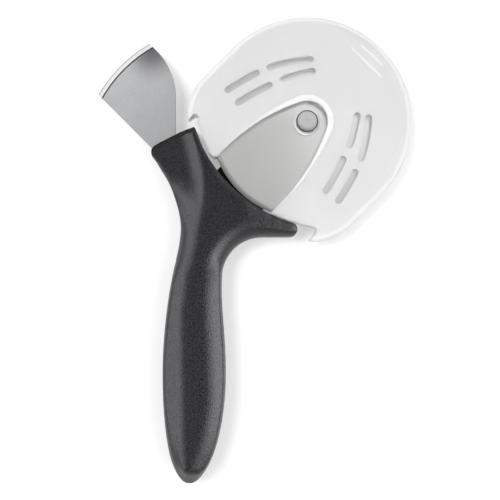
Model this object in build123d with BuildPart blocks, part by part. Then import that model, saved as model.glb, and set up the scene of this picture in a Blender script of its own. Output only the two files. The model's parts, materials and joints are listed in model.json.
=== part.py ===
from build123d import *
import math
import os

# Driving dimensions, in millimetres and degrees.

# Cutting wheel
wheel_diameter = 86.6
wheel_thickness = 0.9
wheel_bevel = 2.0
wheel_edge_land = 0.2

# Hub, from the front of the wheel to the back of the arm
shank_diameter = 6.0
running_clearance = 0.05
axial_play = 0.1
rivet_head_diameter = 9.9
rivet_head_height = 3.2
rivet_head_crown = 0.5
dimple_diameter = 1.2
dimple_depth = 0.3
bush_diameter = 8.4
bush_flange_diameter = 11.8
bush_flange_thickness = 0.7
spacer_diameter = 13.0
spacer_thickness = 0.8
sleeve_diameter = 9.0
burr_diameter = 10.6
burr_thickness = 0.8
tail_diameter = 8.4
tail_height = 1.2
tail_recess = 0.2
burr_clearance = 0.2

# Arm behind the wheel, along the guard's axis
arm_thickness = 5.0
arm_tip_radius = 7.5
arm_root_half_width = 13.6
arm_root_depth = 13.0

# Guard over the wheel
guard_axis_angle = 45.0
guard_rim_gap = 2.3
guard_wall = 1.3
guard_face_gap = 2.6
guard_rim_round = 3.3
guard_side_length = 18.2
ear_radius = 26.0
ear_sweep = 45.0
ear_inner_offset = 38.0
ear_corner_share = 0.36
ear_tip_round = 0.6
guard_end_radius = 59.3
guard_end_centre = 14.5
guard_end_gap = 0.5
toe_round = 3.5
mouth_clearance = 0.8

# Arched window in both guard faces, with its raised lip
window_tip_radius = 9.1
window_half_width = 17.3
toe_straight = 7.72
lip_width_at_tip = 2.6
lip_width_at_mouth = 0.8
lip_height = 0.6
lip_past_flare = 1.5

# Vent slots on one side of the window, each from one end to the other along the guard's axis
slot_width = 2.5
slot_starts = ((-15.9, 27.5), (5.8, 20.7), (-15.2, 34.7), (5.2, 28.6))
slot_ends = ((-0.7, 23.2), (17.3, 14.0), (-1.0, 31.0), (20.3, 18.3))
slot_bows = (0.3, 0.25, 0.25, 0.7)

# Finger ribs at the guard's far end
rib_width = 0.9
rib_height = 0.2
rib_distances = (37.0, 41.0)
rib_lengths = (19.0, 13.4)

# Saddle: the hollow edge of the head that faces the wheel
saddle_gap = 0.9
saddle_flatness = 20.0
saddle_angle = 54.9

# Handle, placed from the saddle's nearest point to the wheel
rest_half_depth = 10.5
skin_thickness = 2.5
side_flat = 1.5
waist_x = -30.55
waist_y = -8.7
waist_radius = 62.0
neck_left_angle = 15.0
arm_side_radius = 40.0
arm_side_sweep = 62.0
crotch_x = 5.45
crotch_y = -33.5
crotch_radius = 18.5
neck_right_angle = 12.0
neck_step = 0.15
neck_overlap = 0.6
wing_tip_x = 21.05
wing_tip_radius = 3.2
wing_taper_length = 24.0
wing_taper_angle = 8.0
belly_x = -25.05
belly_y = -76.7
grip_width = 27.6
grip_depth = 20.4
grip_side_flat = 0.5
tip_length = 49.5
tip_shift = -2.2
tip_angles = (8, 18, 30, 45, 60, 75)
neck_shares = (0, 0.2, 0.4, 0.6, 0.8, 1)
neck_ease = 2.5

# Blade arm's end, from the same point
arm_end_left = (-43.65, 24.2)
arm_end_right = (-25.15, 33.4)
arm_end_crown = 1.9
arm_taper_length = 22.0
arm_taper_angle = 7.0

# Crust blade, from the left corner of the arm's end
blade_angle = 45.0
blade_thickness = 1.6
blade_width = 32.5
blade_length = 34.7
blade_crown = 2.1
blade_bevel = 2.4
blade_edge_land = 0.2
blade_flare_radius = 29.0
blade_parallel = 4.6
tang_width = 9.0
tang_inset = 2.6
tang_length = 22.0
pin_diameter = 3.0
pin_length = 10.0
pin_first = 8.0
pin_spacing = 8.0

# Places worked out from the sizes above
wheel_radius = wheel_diameter / 2
wheel_face = wheel_thickness / 2
guard_radius = wheel_radius + guard_rim_gap + guard_wall
guard_inner_face = wheel_face + guard_face_gap
guard_outer_face = guard_inner_face + guard_wall
guard_ear_centre = (-guard_side_length, guard_radius - ear_radius)
flange_face = wheel_face + bush_flange_thickness
head_seat = flange_face + axial_play
bush_end = -wheel_face - axial_play
spacer_face = bush_end - axial_play
arm_front = spacer_face - spacer_thickness
arm_back = arm_front - arm_thickness
tail_end = arm_back + tail_recess
burr_face = tail_end + tail_height
burr_seat = burr_face + burr_thickness
cut_depth = 2 * wheel_radius
same_place = 0.01
saddle_reach = wheel_radius + saddle_gap
saddle_radius = saddle_reach + saddle_flatness
saddle_away = Vector(math.cos(math.radians(saddle_angle)), math.sin(math.radians(saddle_angle)))
saddle_centre = saddle_away * saddle_flatness
saddle_lean = math.radians(saddle_angle - guard_axis_angle)
saddle_across = window_half_width - saddle_flatness * math.sin(saddle_lean)
saddle_limit = math.sqrt((saddle_radius - guard_end_gap)**2 - saddle_across**2)
toe_at_saddle = saddle_limit - saddle_flatness * math.cos(saddle_lean)
toe_at_end = math.sqrt(guard_end_radius**2 - window_half_width**2) - guard_end_centre
toe_reach = min(toe_at_saddle, toe_at_end)
window_flare = toe_reach - toe_straight
lip_reach = window_flare + lip_past_flare


def from_saddle(x, y):
    """Plan point given from the saddle's nearest point to the wheel, as one measured from the axle."""
    return Vector(x, y) - saddle_away * saddle_reach


blade_left = from_saddle(*arm_end_left)
blade_out = Vector(-math.sin(math.radians(blade_angle)), math.cos(math.radians(blade_angle)))
blade_tip = blade_left + blade_out * blade_length
grip_tip = from_saddle(belly_x, belly_y - tip_length * math.cos(math.radians(tip_angles[0])))

# The part lies on its back: its box is centred on the origin and its lowest face is at zero height
axle_x = (-blade_tip.X - guard_radius) / 2
axle_y = (-grip_tip.Y - guard_radius) / 2
axle = Vector(axle_x, axle_y, rest_half_depth)
wheel_plane = Plane(axle)
guard_plane = wheel_plane.rotated((0, 0, guard_axis_angle))
blade_plane = Plane(axle + blade_left).rotated((0, 0, blade_angle))
hub_plane = Plane(axle, x_dir=(1, 0, 0), z_dir=(0, -1, 0))
hub_axis = Axis(axle, (0, 0, 1))


def neck_points(inset):
    """Ends of the section where the grip joins the head."""
    left = math.radians(neck_left_angle)
    right = math.radians(neck_right_angle)
    low_left = from_saddle(waist_x - waist_radius, waist_y)
    low_left += Vector(math.cos(left), -math.sin(left)) * (waist_radius + inset)
    low_right = from_saddle(crotch_x, crotch_y)
    low_right += Vector(-math.cos(right), math.sin(right)) * (crotch_radius + inset)
    return low_left, low_right


def taper(origin, along, angle, inset):
    """Plane that slopes down from the head's front face towards the tip of a fork."""
    lean = math.radians(angle)
    normal = Vector(along.X * math.sin(lean), along.Y * math.sin(lean), math.cos(lean))
    start = axle + origin + Vector(0, 0, rest_half_depth)
    return Plane(start - normal * inset, z_dir=normal)


def head_form(inset):
    """Forked head of the handle, its surface moved inwards by the inset."""
    underside = crotch_radius + inset
    end_left = from_saddle(*arm_end_left)
    end_right = from_saddle(*arm_end_right)
    end_along = (end_right - end_left).normalized()
    end_out = Vector(-end_along.Y, end_along.X)
    end_half = (end_right - end_left).length / 2
    end_radius = (end_half**2 + arm_end_crown**2) / (2 * arm_end_crown)
    end_plane = Plane(axle + (end_left + end_right) * 0.5 - end_out * inset, x_dir=end_along)
    wing_tip = from_saddle(wing_tip_x, crotch_y + crotch_radius)
    with BuildPart() as form:
        with BuildSketch(wheel_plane):
            with BuildLine():
                low_left = CenterArc(from_saddle(waist_x - waist_radius, waist_y), waist_radius + inset,
                                     -neck_left_angle, neck_left_angle)
                high_left = CenterArc(from_saddle(waist_x - arm_side_radius, waist_y),
                                      arm_side_radius + inset, 0, arm_side_sweep)
                crotch = CenterArc(from_saddle(crotch_x, crotch_y), underside, 90, 90 - neck_right_angle)
                Line(crotch @ 1, low_left @ 0)
                Polyline(high_left @ 1, saddle_centre - Vector(saddle_reach, 0), saddle_centre,
                         (saddle_centre.X, (crotch @ 0).Y), crotch @ 0)
            make_face()
        extrude(amount=rest_half_depth - inset, both=True)
        fillet(form.edges().filter_by(GeomType.CIRCLE), rest_half_depth - side_flat - inset)
        with BuildSketch(wheel_plane):
            with Locations(saddle_centre):
                Circle(saddle_radius + inset)
        extrude(amount=cut_depth, both=True, mode=Mode.SUBTRACT)
        with BuildSketch(end_plane):
            Rectangle(cut_depth, cut_depth, align=(Align.CENTER, Align.MIN))
            with Locations((0, arm_end_crown - end_radius)):
                Circle(end_radius, mode=Mode.SUBTRACT)
        extrude(amount=cut_depth, both=True, mode=Mode.SUBTRACT)
        with BuildSketch(Plane(axle + end_left + Vector(inset, 0))):
            Rectangle(cut_depth, cut_depth, align=(Align.MAX, Align.CENTER))
        extrude(amount=cut_depth, both=True, mode=Mode.SUBTRACT)
        tip_centre = wing_tip + Vector(-1, 1) * (wing_tip_radius + inset / 2)
        with BuildSketch(Plane(axle + tip_centre)):
            Rectangle(cut_depth, cut_depth, align=(Align.MIN, Align.CENTER))
            Circle(wing_tip_radius - inset / 2, mode=Mode.SUBTRACT)
        extrude(amount=cut_depth, both=True, mode=Mode.SUBTRACT)
        arm_taper_start = (end_left + end_right) * 0.5 - end_out * arm_taper_length
        wing_taper_start = wing_tip - Vector(wing_taper_length, 0)
        split(bisect_by=taper(arm_taper_start, end_out, arm_taper_angle, inset), keep=Keep.BOTTOM)
        split(bisect_by=taper(wing_taper_start, Vector(1, 0), wing_taper_angle, inset), keep=Keep.BOTTOM)
    return form.part


def grip_form(inset):
    """Grip from its domed tip through the belly to the neck, its surface moved inwards by the inset."""
    belly = from_saddle(belly_x, belly_y)
    neck_inset = inset + neck_step
    neck_left, neck_right = neck_points(neck_inset)
    neck_across = neck_right - neck_left
    neck_up = Vector(-neck_across.Y, neck_across.X).normalized()
    neck_middle = (neck_left + neck_right) * 0.5 + neck_up * neck_overlap
    neck_depth = 2 * (rest_half_depth - neck_inset)
    neck_round = rest_half_depth - side_flat - neck_inset
    belly_width = grip_width - 2 * inset
    belly_depth = grip_depth - 2 * inset
    belly_round = belly_depth / 2 - grip_side_flat
    with BuildPart() as form:
        for angle in tip_angles:
            swell = math.sin(math.radians(angle))
            reach = math.cos(math.radians(angle))
            middle = belly + Vector(tip_shift * reach**2, (inset - tip_length) * reach)
            with BuildSketch(Plane(axle + middle, x_dir=(1, 0, 0), z_dir=(0, -1, 0))):
                RectangleRounded(belly_width * swell, belly_depth * swell, belly_round * swell)
        for share in neck_shares:
            ease = (1 - math.cos(neck_ease * share)) / (1 - math.cos(neck_ease))
            shift = neck_middle - belly
            middle = belly + Vector(shift.X * share**4, shift.Y * share)
            across = Vector(neck_across.X, neck_across.Y * share**3)
            with BuildSketch(Plane(axle + middle, x_dir=across, z_dir=(across.Y, -across.X, 0))):
                RectangleRounded(belly_width + (neck_across.length - belly_width) * ease,
                                 belly_depth + (neck_depth - belly_depth) * ease,
                                 belly_round + (neck_round - belly_round) * ease)
        loft()
    return form.part


def handle_form(inset):
    """Whole handle, its surface moved inwards by the inset."""
    with BuildPart() as form:
        add(head_form(inset))
        add(grip_form(inset))
    return form.part


def arch(tip_radius, half_width, reach):
    """Arch round the axle that widens along the guard's axis and is cut off square at the reach."""
    side_radius = (window_flare**2 + half_width**2 - tip_radius**2) / (2 * (half_width - tip_radius))
    side_angle = math.degrees(math.atan2(side_radius - half_width, window_flare))
    with BuildSketch(Plane.XY) as shape:
        with BuildLine():
            CenterArc((0, 0), tip_radius, -side_angle, 2 * side_angle)
            left = CenterArc((-window_flare, half_width - side_radius), side_radius,
                             side_angle, 90 - side_angle)
            right = CenterArc((-window_flare, side_radius - half_width), side_radius, -90, 90 - side_angle)
            Polyline(left @ 1, (-reach, half_width), (-reach, -half_width), right @ 0)
        make_face()
    return shape.sketch


def guard_plan(inset, sweep):
    """Plan of the guard with ears of the given sweep, drawn inwards by the inset."""
    ear_x, ear_y = guard_ear_centre
    with BuildSketch(Plane.XY) as shape:
        with BuildLine():
            CenterArc((0, 0), guard_radius - inset, -90, 180)
            left = CenterArc((ear_x, ear_y), ear_radius - inset, 90, sweep)
            right = CenterArc((ear_x, -ear_y), ear_radius - inset, 270 - sweep, sweep)
            Line((0, guard_radius - inset), left @ 0)
            Line((0, inset - guard_radius), right @ 1)
            Line(left @ 1, right @ 0)
        make_face()
    return shape.sketch


def guard_block(inset, height):
    """Guard's dome on one side of the wheel, its ears carried on past their tips and its rim rounded."""
    with BuildPart() as block:
        with BuildSketch(guard_plane):
            add(guard_plan(inset, 90))
        extrude(amount=height)
        rim = block.faces().sort_by(Axis.Z)[-1].edges().filter_by(GeomType.CIRCLE)
        fillet(rim, guard_rim_round - inset)
    return block.part


os.makedirs("parts", exist_ok=True)

# Cutting wheel, ground to a thin edge from both faces
with BuildPart() as cutting_wheel:
    with BuildSketch(hub_plane):
        with BuildLine():
            Polyline((bush_diameter / 2, -wheel_face), (wheel_radius - wheel_bevel, -wheel_face),
                     (wheel_radius, -wheel_edge_land / 2), (wheel_radius, wheel_edge_land / 2),
                     (wheel_radius - wheel_bevel, wheel_face), (bush_diameter / 2, wheel_face), close=True)
        make_face()
    revolve(axis=hub_axis)
cutting_wheel.part.label = "cutting_wheel"
export_step(cutting_wheel.part, "parts/cutting_wheel.step")

# Flanged bush pressed into the wheel
with BuildPart() as wheel_bush:
    with BuildSketch(wheel_plane.offset(bush_end)):
        Circle(bush_diameter / 2)
    extrude(amount=flange_face - bush_end)
    with BuildSketch(wheel_plane.offset(wheel_face)):
        Circle(bush_flange_diameter / 2)
    extrude(amount=bush_flange_thickness)
    with BuildSketch(wheel_plane):
        Circle(shank_diameter / 2 + running_clearance)
    extrude(amount=cut_depth, both=True, mode=Mode.SUBTRACT)
wheel_bush.part.label = "wheel_bush"
export_step(wheel_bush.part, "parts/wheel_bush.step")

# Rivet: crowned head with a centre dimple, plain shank, closed tail
with BuildPart() as axle_rivet:
    with BuildSketch(hub_plane):
        with BuildLine():
            head_top = (0, head_seat + rivet_head_height)
            head_rim = (rivet_head_diameter / 2, head_seat + rivet_head_height - rivet_head_crown)
            TangentArc(head_top, head_rim, tangent=(1, 0))
            Polyline(head_rim, (rivet_head_diameter / 2, head_seat), (shank_diameter / 2, head_seat),
                     (shank_diameter / 2, burr_face), (tail_diameter / 2, burr_face),
                     (tail_diameter / 2, tail_end), (0, tail_end), head_top)
        make_face()
    revolve(axis=hub_axis)
    with BuildSketch(hub_plane):
        with BuildLine():
            Polyline(head_top, (dimple_diameter / 2, head_top[1]), (0, head_top[1] - dimple_depth),
                     close=True)
        make_face()
    revolve(axis=hub_axis, mode=Mode.SUBTRACT)
axle_rivet.part.label = "axle_rivet"
export_step(axle_rivet.part, "parts/axle_rivet.step")

# Spacer between the wheel and the arm
with BuildPart() as rear_spacer:
    with BuildSketch(wheel_plane.offset(arm_front)):
        Circle(spacer_diameter / 2)
        Circle(shank_diameter / 2, mode=Mode.SUBTRACT)
    extrude(amount=spacer_thickness)
rear_spacer.part.label = "rear_spacer"
export_step(rear_spacer.part, "parts/rear_spacer.step")

# Sleeve that carries the rivet through the arm
with BuildPart() as axle_sleeve:
    with BuildSketch(wheel_plane.offset(burr_seat)):
        Circle(sleeve_diameter / 2)
        Circle(shank_diameter / 2, mode=Mode.SUBTRACT)
    extrude(amount=arm_front - burr_seat)
axle_sleeve.part.label = "axle_sleeve"
export_step(axle_sleeve.part, "parts/axle_sleeve.step")

# Burr under the rivet's closed tail
with BuildPart() as rivet_burr:
    with BuildSketch(wheel_plane.offset(burr_face)):
        Circle(burr_diameter / 2)
        Circle(shank_diameter / 2, mode=Mode.SUBTRACT)
    extrude(amount=burr_thickness)
rivet_burr.part.label = "rivet_burr"
export_step(rivet_burr.part, "parts/rivet_burr.step")

# Crust blade: flared plate with a crowned edge ground from both faces, and a pinned tang
pin_x = tang_inset + tang_width / 2
pin_places = ((pin_x, -pin_first), (pin_x, -pin_first - pin_spacing))
edge_radius = ((blade_width / 2)**2 + blade_crown**2) / (2 * blade_crown)
edge_centre = blade_plane.from_local_coords((blade_width / 2, blade_length + blade_crown - edge_radius))
with BuildPart() as crust_blade:
    with BuildSketch(blade_plane):
        with BuildLine():
            edge = ThreePointArc((0, blade_length), (blade_width / 2, blade_length + blade_crown),
                                 (blade_width, blade_length))
            flare = CenterArc((blade_width - blade_flare_radius, blade_length - blade_parallel),
                              blade_flare_radius, -45, 45)
            tang_right = tang_inset + tang_width
            tang_top = (flare @ 0).Y - (flare @ 0).X + tang_right
            Line(edge @ 1, flare @ 1)
            Polyline(flare @ 0, (tang_right, tang_top), (tang_right, -tang_length),
                     (tang_inset, -tang_length), (tang_inset, -tang_inset), (0, 0), edge @ 0)
        make_face()
        with Locations(*pin_places):
            Circle(pin_diameter / 2, mode=Mode.SUBTRACT)
    extrude(amount=blade_thickness / 2, both=True)
    with BuildSketch(Plane(edge_centre, x_dir=(1, 0, 0), z_dir=(0, -1, 0))):
        with BuildLine():
            Polyline((edge_radius - blade_bevel, blade_thickness / 2), (edge_radius, blade_edge_land / 2),
                     (edge_radius + blade_bevel, blade_edge_land / 2),
                     (edge_radius + blade_bevel, blade_thickness / 2), close=True)
        make_face()
        mirror(about=Plane.XZ)
    revolve(axis=Axis(edge_centre, (0, 0, 1)), mode=Mode.SUBTRACT)
crust_blade.part.label = "crust_blade"
export_step(crust_blade.part, "parts/crust_blade.step")

# Pins that lock the tang in the core
with BuildPart() as tang_pin_outer:
    with BuildSketch(blade_plane):
        with Locations(pin_places[0]):
            Circle(pin_diameter / 2)
    extrude(amount=pin_length / 2, both=True)
tang_pin_outer.part.label = "tang_pin_outer"
export_step(tang_pin_outer.part, "parts/tang_pin_outer.step")

with BuildPart() as tang_pin_inner:
    with BuildSketch(blade_plane):
        with Locations(pin_places[1]):
            Circle(pin_diameter / 2)
    extrude(amount=pin_length / 2, both=True)
tang_pin_inner.part.label = "tang_pin_inner"
export_step(tang_pin_inner.part, "parts/tang_pin_inner.step")

# Hard core of the handle, with the arm behind the wheel, moulded round the tang and its pins
core_body = handle_form(skin_thickness)
rear_arm = arch(arm_tip_radius, arm_root_half_width, saddle_reach + arm_root_depth)
with BuildPart() as handle_core:
    add(core_body)
    with BuildSketch(guard_plane.offset(arm_back)):
        add(rear_arm)
    extrude(amount=arm_thickness)
    with BuildSketch(wheel_plane.offset(arm_back)):
        Circle(sleeve_diameter / 2)
    extrude(amount=arm_thickness, mode=Mode.SUBTRACT)
    with BuildSketch(wheel_plane.offset(arm_back)):
        Circle(burr_diameter / 2 + burr_clearance)
    extrude(amount=burr_seat - arm_back, mode=Mode.SUBTRACT)
    add(crust_blade.part, mode=Mode.SUBTRACT)
    add(tang_pin_outer.part, mode=Mode.SUBTRACT)
    add(tang_pin_inner.part, mode=Mode.SUBTRACT)
handle_core.part.label = "handle_core"
export_step(handle_core.part, "parts/handle_core.step")

# Soft skin moulded over the core
with BuildPart() as grip_skin:
    add(handle_form(0))
    add(core_body, mode=Mode.SUBTRACT)
    with BuildSketch(guard_plane.offset(arm_back)):
        add(rear_arm)
    extrude(amount=arm_thickness, mode=Mode.SUBTRACT)
    add(crust_blade.part, mode=Mode.SUBTRACT)
grip_skin.part.label = "grip_skin"
export_step(grip_skin.part, "parts/grip_skin.step")

# Guard's plan: the mouth follows the handle between two ears, with a window open to the mouth
window = arch(window_tip_radius, window_half_width, cut_depth)
with BuildSketch(Plane.XY) as guard_mouth:
    Rectangle(cut_depth, 2 * ear_inner_offset, align=(Align.MAX, Align.CENTER))
    with BuildSketch(Plane.XY, mode=Mode.SUBTRACT):
        with Locations((guard_end_centre, 0)):
            Circle(guard_end_radius)
        with Locations(guard_plane.to_local_coords(axle + saddle_centre)):
            Circle(saddle_radius - guard_end_gap, mode=Mode.INTERSECT)
with BuildSketch(Plane.XY) as guard_face:
    add(guard_plan(0, ear_sweep))
    Rectangle(cut_depth, 2 * ear_inner_offset, align=(Align.MAX, Align.CENTER))
    add(guard_mouth.sketch, mode=Mode.SUBTRACT)
    add(window, mode=Mode.SUBTRACT)
    for inner_edge in (-ear_inner_offset, ear_inner_offset):
        low, high = inner_edge - same_place, inner_edge + same_place
        ear_tip, ear_corner = guard_face.vertices().filter_by_position(Axis.Y, low, high).sort_by(Axis.X)
        fillet(ear_corner, ear_corner_share * (ear_corner.X - ear_tip.X))
        fillet(guard_face.vertices().sort_by_distance(ear_tip)[0], ear_tip_round)
    fillet(guard_face.vertices().sort_by_distance((-toe_reach, window_half_width))[0], toe_round)

# Vent slots: two rows along each side of the window
with BuildSketch(Plane.XY) as guard_slots:
    for start, end, bow in zip(slot_starts, slot_ends, slot_bows):
        SlotArc(SagittaArc(start, end, bow, mode=Mode.PRIVATE), slot_width)
    mirror(about=Plane.XZ)

# Front half of the guard: hollow dome with slots, window lip, finger ribs and a gap that lets the wheel out
with BuildPart() as guard_front_shell:
    add(guard_block(0, guard_outer_face))
    add(guard_block(guard_wall, guard_inner_face), mode=Mode.SUBTRACT)
    with BuildSketch(guard_plane):
        add(guard_face.sketch)
    extrude(amount=guard_outer_face, mode=Mode.INTERSECT)
    with BuildSketch(guard_plane):
        Rectangle(cut_depth, 2 * (wheel_radius + mouth_clearance), align=(Align.MAX, Align.CENTER))
    extrude(amount=wheel_face + mouth_clearance, mode=Mode.SUBTRACT)
    with BuildSketch(guard_plane):
        add(guard_slots.sketch)
    extrude(amount=guard_outer_face, mode=Mode.SUBTRACT)
    with BuildSketch(guard_plane.offset(guard_outer_face)):
        add(arch(window_tip_radius + lip_width_at_tip, window_half_width + lip_width_at_mouth, lip_reach))
        add(window, mode=Mode.SUBTRACT)
    extrude(amount=lip_height)
    with BuildSketch(guard_plane.offset(guard_outer_face)):
        for distance, length in zip(rib_distances, rib_lengths):
            with Locations((distance, 0)):
                SlotOverall(length, rib_width, rotation=90)
    extrude(amount=rib_height)
guard_front_shell.part.label = "guard_front_shell"
export_step(guard_front_shell.part, "parts/guard_front_shell.step")

# Rear half of the guard, the front half's mirror image, joined to it at the rim
with BuildPart() as guard_rear_shell:
    mirror(guard_front_shell.part, about=wheel_plane)
guard_rear_shell.part.label = "guard_rear_shell"
export_step(guard_rear_shell.part, "parts/guard_rear_shell.step")
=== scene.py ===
import json
import math

import bmesh
import bpy
from mathutils import Matrix, Vector


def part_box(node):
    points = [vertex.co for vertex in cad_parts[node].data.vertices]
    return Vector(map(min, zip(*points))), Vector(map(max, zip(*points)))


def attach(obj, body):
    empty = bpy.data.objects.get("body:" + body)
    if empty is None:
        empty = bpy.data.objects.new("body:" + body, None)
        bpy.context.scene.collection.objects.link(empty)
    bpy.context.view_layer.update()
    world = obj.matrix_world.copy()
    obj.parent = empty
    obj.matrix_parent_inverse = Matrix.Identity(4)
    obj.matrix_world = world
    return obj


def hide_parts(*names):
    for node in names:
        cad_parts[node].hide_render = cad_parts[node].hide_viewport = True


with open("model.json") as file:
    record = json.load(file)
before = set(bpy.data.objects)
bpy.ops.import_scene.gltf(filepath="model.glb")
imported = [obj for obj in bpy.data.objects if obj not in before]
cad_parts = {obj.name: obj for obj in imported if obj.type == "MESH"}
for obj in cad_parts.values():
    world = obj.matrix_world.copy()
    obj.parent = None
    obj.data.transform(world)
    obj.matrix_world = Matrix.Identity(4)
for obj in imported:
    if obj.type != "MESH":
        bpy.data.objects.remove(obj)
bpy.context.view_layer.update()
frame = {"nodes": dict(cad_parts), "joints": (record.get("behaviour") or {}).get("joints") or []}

# Places and sizes, in metres, from the frame
MM = 0.001
joints = {joint["name"]: joint for joint in frame["joints"]}
axle = Vector(joints["wheel_spin"]["pos_m"])
wheel_low, wheel_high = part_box("cutting_wheel")
wheel_radius = (wheel_high.x - wheel_low.x) / 2
wheel_face = (wheel_high.z - wheel_low.z) / 2
flange_low, flange_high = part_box("wheel_bush")
flange_radius = (flange_high.x - flange_low.x) / 2
rivet_low, rivet_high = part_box("axle_rivet")
rivet_radius = (rivet_high.x - rivet_low.x) / 2

# Turned pieces
turn_steps = 192
wheel_bevel = 2.0 * MM
wheel_edge_land = 0.2 * MM
wheel_bore = 4.2 * MM
bush_radius = 4.2 * MM
bush_bore = 3.05 * MM
bush_round = 0.2 * MM
shank_radius = 3.0 * MM
rivet_head_height = 3.2 * MM
rivet_head_crown = 0.5 * MM
rivet_tail_radius = 4.2 * MM
rivet_tail_height = 1.2 * MM
rivet_round = 0.04 * MM
dimple_radius = 0.4 * MM
dimple_depth = 0.12 * MM
seam_inner = rivet_radius - 0.58 * MM
seam_outer = rivet_radius - 0.18 * MM
seam_depth = 0.4 * MM
seam_inner_fall = 0.04 * MM
seam_outer_fall = 0.10 * MM
seam_margin = 0.01 * MM

# Blade
# Corner of the blade towards which its face is painted darker, as shade in its reflection
blade_corner = Vector((-46.0, 90.5, 11.0)) * MM
blade_edge_middle = Vector((-15.04, 37.84, 0)) * MM
blade_edge_radius = 63.92 * MM
blade_round = 0.15 * MM
grind_line_width = 0.35 * MM
grind_angles = (6, 35)

# Upward share of a face's normal that tells faces apart
upright = 0.3
ground_most = 0.995
grind_line_tilts = (0.97, 0.998)
level_least = 0.999

# Camera, straight above the middle of the frame
view_width = 225 * MM
view_height = 300 * MM
view_middle = Vector((-2.07 * MM, 0.30 * MM, axle.z))
sensor_width = 36.0


# Shader maths

class Socket:
    """A node's output; arithmetic on it adds Math nodes to its tree."""

    def __init__(self, nodes, output):
        self.nodes = nodes
        self.output = output

    def math(self, operation, first, second):
        return self.nodes.node("ShaderNodeMath", {"operation": operation}, {0: first, 1: second})

    def __add__(self, other):
        return self.math("ADD", self, other)

    def __radd__(self, other):
        return self.math("ADD", other, self)

    def __sub__(self, other):
        return self.math("SUBTRACT", self, other)

    def __rsub__(self, other):
        return self.math("SUBTRACT", other, self)

    def __mul__(self, other):
        return self.math("MULTIPLY", self, other)

    def __rmul__(self, other):
        return self.math("MULTIPLY", other, self)


class Nodes:
    """A node tree to which one method adds every node."""

    def __init__(self, tree):
        self.tree = tree

    def node(self, kind, settings, sockets, output=0):
        """Adds a node, sets it up, feeds its sockets and gives one of its outputs."""
        made = self.tree.nodes.new(kind)
        for key, value in settings.items():
            setattr(made, key, value)
        for key, value in sockets.items():
            self.feed(made.inputs[key], value)
        return Socket(self, made.outputs[output])

    def feed(self, entry, value):
        """Links a socket to an entry, or sets the entry to a plain value."""
        if isinstance(value, Socket):
            self.tree.links.new(value.output, entry)
        else:
            entry.default_value = value

    def fade(self, value, start, end, low=0.0, high=1.0, kind="SMOOTHSTEP"):
        """Goes from low to high while a value goes from start to end."""
        return self.node("ShaderNodeMapRange", {"interpolation_type": kind},
                         {"Value": value, "From Min": start, "From Max": end, "To Min": low, "To Max": high})


class Finish(Nodes):
    """One material's node tree, with its Principled shader."""

    def __init__(self, name):
        self.material = bpy.data.materials.new(name)
        self.material.use_nodes = True
        super().__init__(self.material.node_tree)
        self.shader = self.tree.nodes["Principled BSDF"]

    def surface(self, **sockets):
        """Feeds the Principled shader; names have _ for a space."""
        for key, value in sockets.items():
            self.feed(self.shader.inputs[key.replace("_", " ")], value)
        return self.material

    def place(self, centre=(0, 0, 0), scale=(1, 1, 1)):
        """Object coordinates measured from a centre."""
        coordinates = self.node("ShaderNodeTexCoord", {}, {}, "Object")
        moved = self.node("ShaderNodeVectorMath", {"operation": "SUBTRACT"}, {0: coordinates, 1: centre})
        return self.node("ShaderNodeVectorMath", {"operation": "MULTIPLY"}, {0: moved, 1: scale})

    def length(self, vector):
        """Length of a vector."""
        return self.node("ShaderNodeVectorMath", {"operation": "LENGTH"}, {0: vector}, "Value")

    def noise(self, vector, size, detail=2.0):
        """Noise from 0 to 1 with features of about the given size."""
        return self.node("ShaderNodeTexNoise", {}, {"Vector": vector, "Scale": 1 / size, "Detail": detail})

    def tint(self, share, low, high):
        """Colour between two, by a share from 0 to 1."""
        return self.node("ShaderNodeMix", {"data_type": "RGBA"}, {0: share, 6: low, 7: high}, 2)

    def relief(self, height, depth):
        """Normal of a surface that stands out by the height, 0 to 1, times the depth."""
        return self.node("ShaderNodeBump", {}, {"Height": height, "Distance": depth, "Strength": 1.0})


# Finishes

in_plan = (1, 1, 0)


def grey(value):
    return (value, value, value, 1)


def soft_black():
    finish = Finish("soft_black_skin")
    here = finish.place()
    grain_size, cloud_size, grain_depth = 0.7 * MM, 6 * MM, 0.05 * MM
    grain = finish.fade(finish.noise(here, grain_size), 0.32, 0.68, kind="LINEAR")
    cloud = finish.noise(here, cloud_size)
    colour = finish.tint(grain, (0.0005, 0.0005, 0.003, 1), (0.011, 0.010, 0.015, 1))
    return finish.surface(Base_Color=colour, Roughness=0.29 + 0.16 * grain + 0.04 * cloud,
                          Specular_IOR_Level=0.45, Normal=finish.relief(grain, grain_depth))


def hard_black():
    finish = Finish("hard_black_core")
    grain_size, grain_depth = 0.3 * MM, 0.015 * MM
    grain = finish.noise(finish.place(), grain_size)
    colour = finish.tint(grain, grey(0.004), grey(0.008))
    return finish.surface(Base_Color=colour, Roughness=0.5 + 0.1 * grain, Specular_IOR_Level=0.25,
                          Normal=finish.relief(grain, grain_depth))


def turned_steel():
    finish = Finish("turned_wheel_steel")
    ring_size, smear_size = 0.25 * MM, 14 * MM
    flat = finish.place(axle, in_plan)
    rings = finish.node("ShaderNodeTexNoise", {"noise_dimensions": "1D"},
                        {"W": finish.length(flat), "Scale": 1 / ring_size, "Detail": 3.0})
    smear = finish.noise(flat, smear_size)
    colour = finish.tint(rings, (0.77, 0.77, 0.76, 1), (0.85, 0.85, 0.84, 1))
    return finish.surface(Base_Color=colour, Metallic=1.0, Roughness=0.24 + 0.06 * rings + 0.05 * smear,
                          Anisotropic=0.55)


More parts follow.
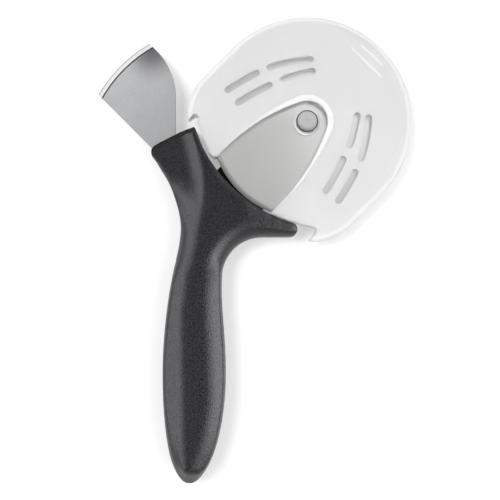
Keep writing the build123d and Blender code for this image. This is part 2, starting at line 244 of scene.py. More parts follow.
def ground_steel(name, middle, radius, rim_shade):
    """Bright ground bevel with painted shade on the last of its edge, standing in for the darker reflection
    of a narrow edge facet.
    """
    finish = Finish(name)
    line_size, rim_start, rim_end = 0.35 * MM, 0.6 * MM, 0.2 * MM
    lines = finish.noise(finish.place(axle), line_size)
    rim = finish.fade(finish.length(finish.place(middle, in_plan)), radius - rim_start, radius - rim_end)
    bright = finish.tint(lines, (0.80, 0.80, 0.79, 1), (0.90, 0.90, 0.89, 1))
    # Painted shade: the last of the edge is darker, as a darker reflection would make it
    colour = finish.tint(rim, bright, grey(rim_shade))
    return finish.surface(Base_Color=colour, Metallic=1.0, Roughness=0.50 + 0.1 * lines)


# Painted shade: a near-black line where the grind begins, standing in for a dark reflection
def grind_line_painted_shade():
    finish = Finish("painted_shade_grind_line")
    line_size = 0.8 * MM
    lines = finish.noise(finish.place(), line_size)
    colour = finish.tint(lines, grey(0.02), grey(0.10))
    return finish.surface(Base_Color=colour, Metallic=1.0, Roughness=0.35 + 0.1 * lines)


# Painted shade: the blade's sides are made dark so that its edge shows as a dark outline
def blade_side_shade():
    finish = Finish("painted_shade_blade_side")
    line_size = 0.4 * MM
    lines = finish.noise(finish.place(scale=in_plan), line_size)
    colour = finish.tint(lines, grey(0.10), grey(0.22))
    return finish.surface(Base_Color=colour, Metallic=1.0, Roughness=0.40 + 0.1 * lines)


def blasted_steel():
    """Blasted blade face with painted shade, a darker reflection, towards one corner."""
    finish = Finish("blasted_blade_steel")
    speck_size, cloud_size, speck_depth, corner_shade_reach = 0.5 * MM, 9 * MM, 0.03 * MM, 17 * MM
    here = finish.place()
    speck = finish.noise(here, speck_size, 3.0)
    cloud = finish.noise(here, cloud_size)
    clear = finish.fade(finish.length(finish.place(blade_corner)), 0.0, corner_shade_reach)
    bright = finish.tint(speck, (0.425, 0.43, 0.44, 1), (0.585, 0.59, 0.595, 1))
    # Painted shade: the face is darker towards the blade's corner, standing in for a darker reflection
    colour = finish.tint(clear, (0.15, 0.15, 0.16, 1), bright)
    return finish.surface(Base_Color=colour, Metallic=1.0, Roughness=0.40 + 0.1 * cloud,
                          Normal=finish.relief(speck, speck_depth))


def plain_steel():
    finish = Finish("plain_rivet_steel")
    speck_size = 0.6 * MM
    speck = finish.noise(finish.place(axle), speck_size)
    colour = finish.tint(speck, grey(0.80), grey(0.87))
    return finish.surface(Base_Color=colour, Metallic=1.0, Roughness=0.24 + 0.1 * speck)


def pale_plastic():
    finish = Finish("pale_bush_plastic")
    speck_size = 0.8 * MM
    speck = finish.noise(finish.place(axle), speck_size)
    colour = finish.tint(speck, grey(0.66), grey(0.74))
    return finish.surface(Base_Color=colour, Roughness=0.25 + 0.1 * speck)


def frosted_plastic(name, low, high, clear, opacity):
    """Cloudy white plastic, a little cool, that lets light through."""
    finish = Finish(name)
    bloom_size, frost_size, frost_depth, scatter = 9 * MM, 0.5 * MM, 0.006 * MM, 3.8 * MM
    here = finish.place(axle)
    bloom = finish.noise(here, bloom_size, 3.0)
    frost = finish.noise(here, frost_size)
    dim, pale = ((shade, shade + 0.004, shade + 0.007, 1) for shade in (low, high))
    return finish.surface(Base_Color=finish.tint(bloom, dim, pale), Roughness=0.42 + 0.06 * frost,
                          Transmission_Weight=clear, IOR=1.3, Subsurface_Weight=1.0,
                          Subsurface_Radius=(1, 1, 1), Subsurface_Scale=scatter, Alpha=opacity,
                          Normal=finish.relief(frost, frost_depth))


# Painted shade and reflection: the seam's groove is near black, in broken dark patches
def seam_painted_shade():
    finish = Finish("rivet_seam_painted_shade")
    patch_size = 2.2 * MM
    patch = finish.noise(finish.place(axle), patch_size)
    colour = finish.tint(patch, grey(0.0), grey(0.35))
    return finish.surface(Base_Color=colour, Metallic=1.0, Roughness=0.3 + 0.2 * patch)


def white_floor():
    """Pale floor; its glow grows with distance and shows directly, in reflections and through the guard."""
    finish = Finish("white_floor")
    near, distant = 0.22, 0.9
    glow_near, glow_distant = 0.36, 0.95
    seen, glossy, passed = (finish.node("ShaderNodeLightPath", {}, {}, kind)
                            for kind in ("Is Camera Ray", "Is Glossy Ray", "Is Transmission Ray"))
    level = finish.fade(finish.length(finish.place()), near, distant, glow_near, glow_distant)
    glow = finish.node("ShaderNodeEmission", {},
                       {"Color": grey(1.0), "Strength": level * (seen + passed + glossy)})
    both = finish.node("ShaderNodeAddShader", {}, {0: Socket(finish, finish.shader.outputs[0]), 1: glow})
    finish.feed(finish.tree.nodes["Material Output"].inputs["Surface"], both)
    return finish.surface(Base_Color=grey(0.64), Roughness=0.9, Specular_IOR_Level=0.0)


skin_finish = soft_black()
core_finish = hard_black()
wheel_finish = turned_steel()
# The last argument is the painted shade on the last of each bevel's edge
wheel_edge_finish = ground_steel("ground_wheel_edge", axle, wheel_radius, 0.78)
blade_edge_finish = ground_steel("ground_blade_edge", blade_edge_middle, blade_edge_radius, 0.40)
grind_shade_finish = grind_line_painted_shade()
side_shade_finish = blade_side_shade()
blade_finish = blasted_steel()
rivet_finish = plain_steel()
bush_finish = pale_plastic()
guard_finish = frosted_plastic("frosted_guard_face", 0.98, 0.99, 0.40, 1.0)
guard_edge_finish = frosted_plastic("frosted_guard_edge", 0.985, 0.99, 0.08, 0.95)
seam_shade_finish = seam_painted_shade()


# Making pieces

def add_piece(name, form, body, slot, *finishes):
    """Turns a finished bmesh into a smooth piece that rides on a body."""
    mesh = bpy.data.meshes.new(name)
    form.to_mesh(mesh)
    form.free()
    for finish in finishes:
        mesh.materials.append(finish)
    mesh.shade_smooth()
    piece = bpy.data.objects.new(name, mesh)
    bpy.context.scene.collection.objects.link(piece)
    level = piece.modifiers.new("level_flats", "WEIGHTED_NORMAL")
    level.mode = "FACE_AREA"
    level.weight = 80
    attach(piece, body)
    return piece


def copy_of(node):
    """Bmesh of a CAD node, its loose triangles joined."""
    form = bmesh.new()
    form.from_mesh(frame["nodes"][node].data)
    bmesh.ops.remove_doubles(form, verts=form.verts, dist=0.002 * MM)
    for face in form.faces:
        face.material_index = 0
    return form


def loose(form):
    """Object that holds a bmesh for one modifier."""
    mesh = bpy.data.meshes.new("loose")
    form.to_mesh(mesh)
    form.free()
    holder = bpy.data.objects.new("loose", mesh)
    bpy.context.scene.collection.objects.link(holder)
    return holder


def applied(holder):
    """Bmesh of an object with its modifier applied; the object goes."""
    bpy.context.view_layer.update()
    mesh = bpy.data.meshes.new_from_object(holder.evaluated_get(bpy.context.evaluated_depsgraph_get()))
    bpy.data.objects.remove(holder)
    form = bmesh.new()
    form.from_mesh(mesh)
    return form


def combined(form, tool, operation):
    """One closed form cut by another or joined to it."""
    holder = loose(form)
    other = loose(tool)
    change = holder.modifiers.new("change", "BOOLEAN")
    change.operation = operation
    change.solver = "EXACT"
    change.object = other
    result = applied(holder)
    bpy.data.objects.remove(other)
    return result


def joined(*forms):
    """One bmesh of several that stand apart."""
    whole = bmesh.new()
    for form in forms:
        part = bpy.data.meshes.new("part")
        form.to_mesh(part)
        form.free()
        whole.from_mesh(part)
        bpy.data.meshes.remove(part)
    return whole


def lathe(profile):
    """Closed turned form: (radius, height) points spun round the axle."""
    form = bmesh.new()
    points = [form.verts.new((radius, 0, height)) for radius, height in profile]
    edges = [form.edges.new(pair) for pair in zip(points, points[1:])]
    bmesh.ops.spin(form, geom=points + edges, axis=(0, 0, 1), cent=(0, 0, 0), angle=2 * math.pi,
                   steps=turn_steps, use_merge=True)
    bmesh.ops.remove_doubles(form, verts=form.verts, dist=0.001 * MM)
    bmesh.ops.recalc_face_normals(form, faces=form.faces)
    bmesh.ops.translate(form, verts=form.verts, vec=axle)
    return form


def bevel(form, edges, width, segments):
    """Bevels chosen edges."""
    bmesh.ops.bevel(form, geom=edges, offset=width, offset_type="OFFSET", segments=segments, profile=0.5,
                    affect="EDGES", clamp_overlap=True, material=-1)


def round_edges(form, width, segments, least_angle):
    """Rounds every edge that is sharper than an angle."""
    sharp = [edge for edge in form.edges
             if edge.is_manifold and edge.calc_face_angle(0) > math.radians(least_angle)]
    bevel(form, sharp, width, segments)


def join_flats(form, angle):
    """Joins triangles that lie in one plane, within an angle, into whole faces."""
    bmesh.ops.dissolve_limit(form, angle_limit=math.radians(angle), verts=form.verts, edges=form.edges,
                             use_dissolve_boundaries=False)


def smooth(form, points, times):
    """Evens out points of a form a number of times."""
    for _ in range(times):
        bmesh.ops.smooth_vert(form, verts=points, factor=0.5,
                              use_axis_x=True, use_axis_y=True, use_axis_z=True)


def mark_ground(form):
    """Gives the ground bevels their own finish, the piece's second."""
    for face in form.faces:
        if upright < abs(face.normal.z) < ground_most:
            face.material_index = 1


# Handle: the front's planes, in millimetres in plan. Each ridge is (y, x) from the arm's end to the grip's
left_ridge = ((52, -27.2), (39, -23.7), (32, -22.3), (27, -22.0), (21, -22.2), (15.6, -22.9), (10, -24.7),
              (-2, -27.5), (-13, -29.8), (-24, -31.2), (-36, -31.7), (-65, -31.2), (-87, -30.7),
              (-106, -29.2))
right_ridge = ((4, -16.2), (-2, -19.0), (-13, -20.7), (-24, -21.4), (-50, -20.1), (-65, -19.9), (-76, -21.2),
               (-87, -24.0), (-97, -27.9), (-106, -29.2))
front_top = 21.0
middle_height = front_top / 2
skin_wall = 2.5
side_middle, side_radius = 12.0, 9.0
side_flat = side_middle - middle_height
core_round = side_radius - skin_wall
saddle_middle, saddle_radius = Vector((34.85, 73.85)), 64.2

# Arm
arm_taper_start = Vector((-26.66, 30.43))
arm_out = Vector((-0.4453, 0.8954))
arm_taper = math.tan(math.radians(7.0))
arm_side_middle, arm_side_radius = Vector((-72.61, 12.63)), 40.0
arm_edge_round, arm_edge_rise, arm_edge_reach = 1.6, 7.2, 3.6
arm_end_middle, arm_end_radius = Vector((-36.46, 50.13)), 29.03
arm_end_start = 30
arm_end_crown, flat_crown = 1.9, 0.63

# Planes, rounds and the blends between them
grip_slope, arm_slope = 0.46, 0.68
left_round, right_round = 4.4, 1.3
hollow_spare, hollow_open, hollow_blend = 0.35, 10, 2.6
ridge_blend, arm_ridge_less, right_blend = 1.0, 0.5, 1.6
end_slope, end_width = 1.2, 2.4
rim_slope, rim_width = 0.9, 1.3
edge_blend = 0.3

# Stretches over which one form passes into the next: in y, or across from a ridge
arm_begins = (8, 24)
grip_begins, grip_ends = (-2, -14), (-105, -94)
slope_change = (12, 30)
core_edge_ends = (14, 36)
hollow_begins = (4, 14)
right_begins = (8, -14)
round_change = (0, 4)

# Moves of the skin's outline, and the stretches over which they come and go
outline_growth, growth_from_saddle, growth_at_tip, growth_at_end = 0.4, (2, 6), (-104, -90), (-12, -4)
bulge, bulge_begins, bulge_ends, bulge_width = 1.1, (8, 26), (34, 48), (0, 9)
flattening = (-6, 0.5)

# Hard band across the arm's end, cut in short straight steps
band_width = 2.1
band_flatness = 3
band_steps, band_step_turn, band_step_reach = 6, 2, 1.2
band_margin = 0.05

# Remaking of the skin's faces
voxel = 0.75 * MM
front_start = 11.5
front_facing = 0.01


def on_line(line, y):
    """Place on a ridge at a height of the plan, on a smooth curve through its points."""
    last = len(line) - 1
    for index in range(last):
        (y0, x0), (y1, x1) = line[index], line[index + 1]
        if y >= y1 or index == last - 1:
            break
    before = line[max(index - 1, 0)]
    after = line[min(index + 2, last)]
    slope0 = (x1 - before[1]) / (y1 - before[0]) * (y1 - y0)
    slope1 = (after[1] - x0) / (after[0] - y0) * (y1 - y0)
    t = min(max((y - y0) / (y1 - y0), 0), 1)
    from_first = (2 * t - 3) * t * t + 1
    from_slope0 = ((t - 2) * t + 1) * t
    from_second = (3 - 2 * t) * t * t
    from_slope1 = (t - 1) * t * t
    return from_first * x0 + from_slope0 * slope0 + from_second * x1 + from_slope1 * slope1


def ease(low, high, value):
    """Goes smoothly from 0 to 1 while a value goes from low to high."""
    t = min(max((value - low) / (high - low), 0), 1)
    return t * t * (3 - 2 * t)


def soft_least(first, second, blend):
    """The lower of two heights, with the crease between them rounded."""
    near = max(blend - abs(first - second), 0) / blend
    return min(first, second) - near * near * blend / 4


def stood_arm_edge(z, edge, on_arm):
    """Height once the arm's left edge stands up to a narrow round."""
    if on_arm == 0 or not 0 < edge < arm_edge_reach:
        return z
    old = side_flat + math.sqrt(side_radius**2 - (side_radius - edge)**2)
    new = side_flat + arm_edge_rise * math.sqrt(1 - (1 - min(edge / arm_edge_round, 1))**2)
    return middle_height + (z - middle_height) * (1 + (max(new / old, 1) - 1) * on_arm)


def stood_grip_side(z, left, y):
    """Height once the grip's sides stand up to a narrow round."""
    on_grip = ease(*grip_begins, y) * ease(*grip_ends, y)
    if on_grip == 0 or z <= side_middle:
        return z
    rise = min((z - side_middle) / side_radius, 1)
    inset = side_radius * (1 - math.sqrt(1 - rise**2))
    side_round = right_round + (left_round - right_round) * ease(*round_change, left)
    stood = side_middle + side_radius * math.sqrt(1 - (1 - min(inset / side_round, 1))**2)
    return z + (max(stood, z) - z) * on_grip


def front_height(x, y, z):
    """Height of a point of the skin's front once its planes are cut."""
    place = Vector((x, y))
    top = front_top - arm_taper * max((place - arm_taper_start).dot(arm_out), 0)
    on_arm = ease(*arm_begins, y)
    edge = (place - arm_side_middle).length - arm_side_radius
    left = on_line(left_ridge, y) - x
    z = stood_arm_edge(z, edge, on_arm)
    z = stood_grip_side(z, left, y)
    # Left plane, with a hollow along the arm
    slope = grip_slope + (arm_slope - grip_slope) * ease(*slope_change, y)
    core_fall = max(side_radius - edge, 0)**2 / (2 * core_round)
    deepest = (skin_wall - hollow_spare + core_fall * (1 - ease(*core_edge_ends, y))
               + hollow_open * (1 - ease(*hollow_begins, y)))
    hollow = soft_least(slope * left, deepest, hollow_blend)
    z = soft_least(z, top - hollow, ridge_blend - arm_ridge_less * on_arm)
    # Right plane, on the grip alone
    right = x - on_line(right_ridge, y)
    on_right = ease(*right_begins, y)
    if on_right > 0:
        z = soft_least(z, top - grip_slope * on_right * right, right_blend * on_right)
    # Rounded end of the arm and edge of the saddle
    end = arm_end_radius - (place - arm_end_middle - arm_out * (arm_end_crown - arm_end_radius)).length
    if y > arm_end_start:
        z = soft_least(z, top - end_slope * max(end_width - end, 0), edge_blend)
    rim = (place - saddle_middle).length - saddle_radius
    return soft_least(z, top - rim_slope * max(rim_width - rim, 0), edge_blend)


def plan_shift(place, out):
    """Small move in plan that brings the skin's outline to its true line."""
    rim = (place - saddle_middle).length - saddle_radius
    along = (place - arm_end_middle).dot(arm_out)
    across = (place - arm_end_middle).dot(arm_out.orthogonal())
    move = (out * outline_growth * ease(*growth_from_saddle, rim) * ease(*growth_at_tip, place.y)
            * (1 - ease(*growth_at_end, along)))
    # Left side of the arm
    to_side = arm_side_middle - place
    edge = to_side.length - arm_side_radius
    on_bulge = ease(*bulge_begins, place.y) * (1 - ease(*bulge_ends, place.y))
    move += to_side.normalized() * bulge * on_bulge * (1 - ease(*bulge_width, edge))
    # Flatter end of the arm
    excess = (arm_end_crown - flat_crown) * max(1 - across**2 / (2 * arm_end_radius * arm_end_crown), 0)
    return move - arm_out * excess * ease(*flattening, along)


def even_copy(node):
    """Bmesh of a CAD node, remade of small even faces."""
    holder = loose(copy_of(node))
    remesh = holder.modifiers.new("remesh", "REMESH")
    remesh.mode = "VOXEL"
    remesh.voxel_size = voxel
    remesh.adaptivity = 0.0
    return applied(holder)


def cut_band(form):
    """Cuts the edge of the hard band across the arm's front and gives the band its finish."""
    middle = arm_end_middle + arm_out * (flat_crown - arm_end_radius * band_flatness)
    radius = arm_end_radius * band_flatness - band_width
    for step in range(-band_steps, band_steps + 1):
        turn = math.radians(band_step_turn * step)
        toward = arm_out.orthogonal() * math.sin(turn) + arm_out * math.cos(turn)
        parts = {}
        for face in form.faces:
            centre = face.calc_center_median()
            off = ((centre.xy / MM - middle).normalized() - toward).length
            if centre.z > axle.z and off < math.radians(band_step_reach):
                parts.update(dict.fromkeys([face, *face.edges, *face.verts]))
        bmesh.ops.bisect_plane(form, geom=list(parts), dist=0.0001 * MM,
                               plane_co=((middle + toward * radius) * MM).to_3d(), plane_no=toward.to_3d())
    for face in form.faces:
        centre = face.calc_center_median()
        if centre.y > arm_end_start * MM and (centre.xy / MM - middle).length > radius - band_margin:
            face.material_index = 1


form = even_copy("grip_skin")
smooth(form, form.verts, 3)
form.normal_update()
for vertex in form.verts:
    x, y, z = vertex.co / MM
    if z > front_start and vertex.normal.z > front_facing:
        vertex.co.z = front_height(x, y, z) * MM
smooth(form, [vertex for vertex in form.verts if vertex.co.z > axle.z], 2)
form.normal_update()
for vertex in form.verts:
    plan = Vector(vertex.co.xy) / MM
    vertex.co.xy = (plan + plan_shift(plan, Vector(vertex.normal.xy))) * MM
cut_band(form)
skin_piece = add_piece("soft_grip_skin", form, "handle", "soft_grip", skin_finish, core_finish)
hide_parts("grip_skin")


# Blade, with painted shade, a dark line that stands in for a reflection, where its grind begins

def begins_grind(edge):
    """True for an edge between a level face and a ground one."""
    least, most = grind_angles
    return (edge.is_manifold and least < math.degrees(edge.calc_face_angle(0)) < most
            and sum(abs(face.normal.z) > level_least for face in edge.link_faces) == 1)


form = copy_of("crust_blade")
join_flats(form, 0.6)
bevel(form, [edge for edge in form.edges if begins_grind(edge)], grind_line_width, 1)
form.normal_update()
mark_ground(form)
# The narrow bevel's faces get the painted dark line, the upright sides the painted dark shade
line_least, line_most = grind_line_tilts
for face in form.faces:
    if line_least < abs(face.normal.z) < line_most:
        face.material_index = 2
    elif abs(face.normal.z) < upright:
        face.material_index = 3
round_edges(form, blade_round, 2, 40)
blade_piece = add_piece("flared_crust_blade", form, "handle", "satin_steel", blade_finish, blade_edge_finish,
                        grind_shade_finish, side_shade_finish)
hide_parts("crust_blade")

# Wheel, ground to an edge from both faces
grind_start = wheel_radius - wheel_bevel
land = wheel_edge_land / 2
form = lathe([(wheel_bore, wheel_face), (grind_start, wheel_face), (wheel_radius, land),
              (wheel_radius, -land), (grind_start, -wheel_face), (wheel_bore, -wheel_face),
              (wheel_bore, wheel_face)])
form.normal_update()
mark_ground(form)
wheel_piece = add_piece("ground_cutting_wheel", form, "wheel", "satin_steel", wheel_finish, wheel_edge_finish)
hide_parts("cutting_wheel")

# Flanged bush
flange_top = flange_high.z - axle.z
bush_end = flange_low.z - axle.z
form = lathe([(bush_bore, flange_top), (flange_radius, flange_top), (flange_radius, wheel_face),
              (bush_radius, wheel_face), (bush_radius, bush_end), (bush_bore, bush_end),
              (bush_bore, flange_top)])
round_edges(form, bush_round, 3, 40)
bush_piece = add_piece("flanged_bush", form, "wheel", "pale_plastic", bush_finish)
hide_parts("wheel_bush")

# Rivet, with a seam round its head, painted dark as shade in its groove
head_top = rivet_high.z - axle.z
head_seat = head_top - rivet_head_height
seam_floor = head_top - seam_depth
tail_end = rivet_low.z - axle.z
tail_seat = tail_end + rivet_tail_height
form = lathe([(0, head_top - dimple_depth), (dimple_radius, head_top),
              (seam_inner, head_top - seam_inner_fall), (seam_inner, seam_floor),
              (seam_outer, seam_floor), (seam_outer, head_top - seam_outer_fall),
              (rivet_radius, head_top - rivet_head_crown), (rivet_radius, head_seat),
              (shank_radius, head_seat), (shank_radius, tail_seat),
              (rivet_tail_radius, tail_seat), (rivet_tail_radius, tail_end), (0, tail_end)])
form.normal_update()
# The seam's groove gets the painted dark shade
for face in form.faces:
    centre = face.calc_center_median() - axle
    if seam_inner - seam_margin < centre.xy.length < seam_outer + seam_margin and centre.z > 0:
        face.material_index = 1
round_edges(form, rivet_round, 2, 25)
rivet_piece = add_piece("crowned_axle_rivet", form, "handle", "plain_steel", rivet_finish, seam_shade_finish)
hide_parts("axle_rivet")

# Guard, in millimetres from the axle: x along its axis, y to its left
guard_turn = math.radians(45)
rim_radius, rim_round = 46.9, 3.3
wall = 1.3
dome_top = 4.35
ear_middle, ear_radius = (-18.2, 20.9), 26.0
ear_end = -36.58
ear_inner = 38.0
ear_tip_round = 0.6
left_corner, left_corner_start = 4.3, 34.7
right_corner, right_corner_start = 6.1, -33.4
mouth_middle, mouth_radius = (14.5, 0.0), 59.3
mouth_run = (22.2, 34.2)
rest_middle, rest_radius = (19.70, 3.44), 63.7
rest_run_start = -33.0
window_tip, window_side, window_flare = 9.1, 17.3, 34.5
toe_round, toe_reach = 4.7, 0.957
lip_at_tip, lip_at_side, lip_reach, lip_height = 2.6, 0.8, 36.0, 0.6
rib_width, rib_height = 0.9, 0.2
ribs = ((37.0, 19.0), (41.0, 13.4))
sink = 0.4
slot_width = 3.0
slots = (((-15.9, 27.5), (-0.7, 23.2), 0.3), ((5.8, 20.7), (17.3, 14.0), 0.25),
         ((-15.2, 34.7), (-1.0, 31.0), 0.25), ((5.2, 28.6), (20.3, 18.3), 0.7))
gap_side, gap_height = 44.1, 1.25
guard_round = 0.25
face_least = 0.985
raised_margin = 0.05
beyond = 70.0


def arc(middle, radius, start, end, steps):
    """Points of an arc, each with its direction from the middle."""
    found = []
    for step in range(steps + 1):
        angle = math.radians(start + (end - start) * step / steps)
        away = Vector((math.cos(angle), math.sin(angle), 0))
        found.append((Vector((*middle, 0)) + away * radius, away))
    return found


def line_up(*runs):
    """Points of several runs in one row."""
    return [point for run in runs for point in run]


def bend(before, corner, after, steps=8):
    """Points of a rounded corner."""
    return [before.lerp(corner, step / steps).lerp(corner.lerp(after, step / steps), step / steps)
            for step in range(steps + 1)]


def circle_at(middle, radius, y):
    """Point of a circle's near side at a distance from the guard's axis."""
    return Vector((middle[0] - math.sqrt(radius**2 - (y - middle[1])**2), y, 0))


def circle_run(middle, radius, start, end, steps):
    """Points of a circle's near side between two distances from the guard's axis."""
    return [circle_at(middle, radius, start + (end - start) * step / steps) for step in range(steps + 1)]


def window_run(tip, side):
    """Arch of the window from its right side round the axle to its left."""
    radius = (window_flare**2 + side**2 - tip**2) / (2 * (side - tip))
    turn = math.degrees(math.atan2(radius - side, window_flare))
    return [point for point, _ in line_up(arc((-window_flare, radius - side), radius, -90, -turn, 20),
                                          arc((0, 0), tip, -turn, turn, 32)[1:-1],
                                          arc((-window_flare, side - radius), radius, turn, 90, 20))]


def plate(points, low, high):
    """Closed plate with an outline, between two heights."""
    form = bmesh.new()
    face = form.faces.new([form.verts.new((point[0], point[1], low)) for point in points])
    grown = bmesh.ops.extrude_face_region(form, geom=[face])["geom"]
    bmesh.ops.translate(form, verts=[item for item in grown if isinstance(item, bmesh.types.BMVert)],
                        vec=(0, 0, high - low))
    bmesh.ops.recalc_face_normals(form, faces=form.faces)
    return form


def dome():
    """Hollow dome over the wheel, its ears carried on past their ends."""
    rim = line_up(arc(ear_middle, ear_radius, 180, 90, 40), arc((0, 0), rim_radius, 90, -90, 120),
                  arc((ear_middle[0], -ear_middle[1]), ear_radius, 270, 180, 40))
    seat = dome_top - rim_round
    inner = rim_round - wall
    turns = [math.radians(turn) for turn in range(0, 91, 15)]
    profile = [(rim_round - inner * math.sin(turn), seat + inner * math.cos(turn)) for turn in turns]
    profile += [(wall, 0), (0, 0)]
    profile += [(rim_round - rim_round * math.sin(turn), seat + rim_round * math.cos(turn))
                for turn in reversed(turns)]
    form = bmesh.new()
    number = form.verts.layers.int.new("number")
    inset, height = profile[0]
    ring = []
    for index, (point, away) in enumerate(rim):
        vertex = form.verts.new((*(point - away * inset).xy, height))
        vertex[number] = index
        ring.append(vertex)
    edges = list(form.faces.new(ring).edges)
    for inset, height in profile[1:]:
        grown = bmesh.ops.extrude_edge_only(form, edges=edges)["geom"]
        for vertex in (item for item in grown if isinstance(item, bmesh.types.BMVert)):
            point, away = rim[vertex[number]]
            vertex.co = (*(point - away * inset).xy, height)
        edges = [item for item in grown if isinstance(item, bmesh.types.BMEdge) and item.is_boundary]
    bmesh.ops.contextual_create(form, geom=edges)
    bmesh.ops.recalc_face_normals(form, faces=form.faces)
    return form


def mouth():
    """Plate that cuts the mouth and the window out of the dome."""
    right_tip = Vector((ear_end, -ear_inner, 0))
    left_tip = Vector((ear_end, ear_inner, 0))
    right_inner = circle_at(rest_middle, rest_radius, -ear_inner)
    left_inner = circle_at(mouth_middle, mouth_radius, ear_inner)
    right_start = circle_at(rest_middle, rest_radius, right_corner_start)
    left_start = circle_at(mouth_middle, mouth_radius, left_corner_start)
    toe = circle_at(mouth_middle, mouth_radius, window_side)
    toe_start = circle_at(mouth_middle, mouth_radius, window_side + toe_round * toe_reach)
    along = Vector((1, 0, 0))
    across = Vector((0, 1, 0))
    outline = line_up(
        [Vector((-beyond, -beyond, 0)), Vector((ear_end, -beyond, 0))],
        bend(right_tip - across * ear_tip_round, right_tip, right_tip + along * ear_tip_round, 4),
        bend(right_inner - along * right_corner, right_inner, right_start),
        circle_run(rest_middle, rest_radius, rest_run_start, -window_side, 24),
        window_run(window_tip, window_side),
        bend(toe + along * toe_round, toe, toe_start),
        circle_run(mouth_middle, mouth_radius, *mouth_run, 20),
        bend(left_start, left_inner, left_inner - along * left_corner),
        bend(left_tip + along * ear_tip_round, left_tip, left_tip + across * ear_tip_round, 4),
        [Vector((ear_end, beyond, 0)), Vector((-beyond, beyond, 0))])
    return plate(outline, -beyond, beyond)


def slot_cut(start, end, bow, side):
    """Plate that cuts one curved slot."""
    start, end = Vector(start), Vector(end)
    chord = end - start
    radius = (chord.length_squared / 4 + bow**2) / (2 * bow)
    middle = (start + end) / 2 - Vector((-chord.y, chord.x)).normalized() * (radius - bow)
    first = math.degrees(math.atan2(start.y - middle.y, start.x - middle.x))
    last = math.degrees(math.atan2(end.y - middle.y, end.x - middle.x))
    half = slot_width / 2
    outline = line_up(arc(middle, radius + half, first, last, 16),
                      arc(end, half, last, last - 180, 12)[1:-1],
                      arc(middle, radius - half, last, first, 16),
                      arc(start, half, first + 180, first, 12)[1:-1])
    return plate([(point.x, point.y * side) for point, _ in outline], wall, beyond)


def raised_forms():
    """Lip round the window and finger ribs."""
    low = dome_top - sink
    lip_side = window_side + lip_at_side
    outer = window_run(window_tip + lip_at_tip, lip_side)
    inner = window_run(window_tip, window_side)
    lip = line_up([Vector((-lip_reach, -window_side - lip_at_side, 0))], outer,
                  [Vector((-lip_reach, lip_side, 0)), Vector((-lip_reach, window_side, 0))],
                  reversed(inner), [Vector((-lip_reach, -window_side, 0))])
    forms = [plate(lip, low, dome_top + lip_height)]
    for distance, length in ribs:
        reach = (length - rib_width) / 2
        outline = line_up(arc((distance, reach), rib_width / 2, 0, 180, 8),
                          arc((distance, -reach), rib_width / 2, 180, 360, 8))
        forms.append(plate([point for point, _ in outline], low, dome_top + rib_height))
    return joined(*forms)


def guard_shell():
    """One shell of the guard, with its front up."""
    form = combined(dome(), raised_forms(), "UNION")
    form = combined(form, mouth(), "DIFFERENCE")
    gap = [(-beyond, -gap_side), (0, -gap_side), (0, gap_side), (-beyond, gap_side)]
    form = combined(form, plate(gap, -beyond, gap_height), "DIFFERENCE")
    cuts = [slot_cut(*shape, side) for shape in slots for side in (1, -1)]
    form = combined(form, joined(*cuts), "DIFFERENCE")
    bmesh.ops.remove_doubles(form, verts=form.verts, dist=0.005)
    join_flats(form, 0.3)
    round_edges(form, guard_round, 2, 35)
    return form


guard_pieces = []
for node, name, side in (("guard_front_shell", "frosted_front_shell", 1),
                         ("guard_rear_shell", "frosted_rear_shell", -1)):
    form = guard_shell()
    to_frame = (Matrix.Translation(axle) @ Matrix.Rotation(guard_turn, 4, "Z")
                @ Matrix.Diagonal((MM, MM, side * MM, 1)))
    bmesh.ops.transform(form, matrix=to_frame, verts=form.verts)
    bmesh.ops.recalc_face_normals(form, faces=form.faces)
    form.normal_update()
    raised_level = axle.z + (dome_top + raised_margin) * MM * side
    for face in form.faces:
        if abs(face.normal.z) < face_least or (face.calc_center_median().z - raised_level) * side > 0:
            face.material_index = 1
    guard_piece = add_piece(name, form, "guard", "guard_plastic", guard_finish, guard_edge_finish)
    guard_pieces.append(guard_piece)
    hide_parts(node)

# Nodes that stay as they are
for node, finish in (("handle_core", core_finish), ("tang_pin_outer", rivet_finish),
                     ("tang_pin_inner", rivet_finish), ("rear_spacer", bush_finish),
                     ("axle_sleeve", rivet_finish), ("rivet_burr", rivet_finish)):
    materials = frame["nodes"][node].data.materials
    materials.clear()
    materials.append(finish)

# Floor
floor_reach = 3.0
floor_form = bmesh.new()
bmesh.ops.create_grid(floor_form, x_segments=1, y_segments=1, size=floor_reach)
floor_mesh = bpy.data.meshes.new("floor")
floor_form.to_mesh(floor_mesh)
floor_form.free()
floor = bpy.data.objects.new("floor", floor_mesh)
bpy.context.scene.collection.objects.link(floor)
floor_mesh.materials.append(white_floor())

# World: a pale room, white low down and darker overhead
room_low, room_high = 0.16, 0.55
room_pale, room_dim = 1.0, 0.20
world = bpy.data.worlds.new("pale_room")
bpy.context.scene.world = world
world.use_nodes = True
room = Nodes(world.node_tree)
direction = room.node("ShaderNodeTexCoord", {}, {}, "Generated")
upward = room.node("ShaderNodeSeparateXYZ", {}, {0: direction}, "Z")
background = room.tree.nodes["Background"]
room.feed(background.inputs["Color"], grey(1.0))
room.feed(background.inputs["Strength"], room.fade(upward, room_low, room_high, room_pale, room_dim))


# Lamps

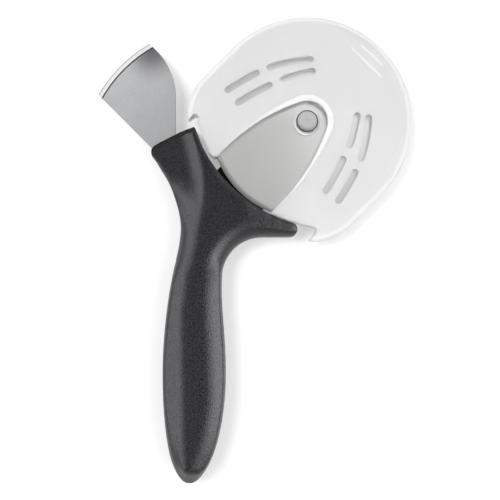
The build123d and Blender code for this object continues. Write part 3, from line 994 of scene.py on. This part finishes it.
def add_lamp(name, place, size, radiance, diffuse=True, glossy=True, only=None):
    """Soft box that faces the axle, given by its radiance; it may light only some pieces."""
    lamp = bpy.data.lights.new(name, "AREA")
    lamp.shape = "RECTANGLE"
    lamp.size, lamp.size_y = size
    lamp.energy = radiance * math.pi * size[0] * size[1]
    holder = bpy.data.objects.new(name, lamp)
    bpy.context.scene.collection.objects.link(holder)
    away = (Vector(place) - axle).normalized()
    holder.matrix_world = Matrix.Translation(place) @ away.to_track_quat("Z", "Y").to_matrix().to_4x4()
    holder.visible_camera = False
    holder.visible_diffuse = diffuse
    holder.visible_glossy = glossy
    if only:
        lit = bpy.data.collections.new(name + "_lit")
        for piece in only:
            lit.objects.link(piece)
        holder.light_linking.receiver_collection = lit


handle_only = [skin_piece]
pale_pieces = [blade_piece, wheel_piece, bush_piece, rivet_piece, *guard_pieces, floor]
add_lamp("key_box", (-0.37, 0.17, 0.80), (0.36, 0.36), 13.3, glossy=False)
add_lamp("right_fill", (0.19, -0.07, 0.32), (0.28, 0.25), 3.3, glossy=False)
add_lamp("left_card", (-0.50, -0.02, 0.36), (0.9, 0.26), 4.6, diffuse=False, only=handle_only)
add_lamp("left_high_card", (-0.42, 0.0, 0.62), (0.9, 0.30), 1.2, diffuse=False, only=handle_only)
add_lamp("right_card", (0.46, -0.03, 0.37), (0.8, 0.42), 6.2, diffuse=False, only=handle_only)
add_lamp("right_high_card", (0.40, -0.03, 0.60), (0.8, 0.30), 0.6, diffuse=False, only=handle_only)
add_lamp("near_card", (0.29, -0.36, 0.53), (0.5, 0.20), 1.4, diffuse=False, only=handle_only)
add_lamp("high_card", (0.10, 0.34, 0.9), (1.0, 0.8), 0.48, only=pale_pieces)
add_lamp("bevel_card", (-0.42, 0.42, 0.70), (0.5, 0.5), 2.3, diffuse=False, only=[blade_piece])
add_lamp("wheel_card", (0.22, 0.26, 0.72), (0.25, 0.25), 0.7, diffuse=False, only=[wheel_piece])

# Camera
camera_data = bpy.data.cameras.new("camera")
camera_data.sensor_width = sensor_width
camera_data.lens = sensor_width * view_height / view_width
camera_data.clip_start = 0.01
camera = bpy.data.objects.new("camera", camera_data)
camera.location = view_middle + Vector((0, 0, view_height))
bpy.context.scene.collection.objects.link(camera)
bpy.context.scene.camera = camera
bpy.context.scene.view_settings.view_transform = "Standard"
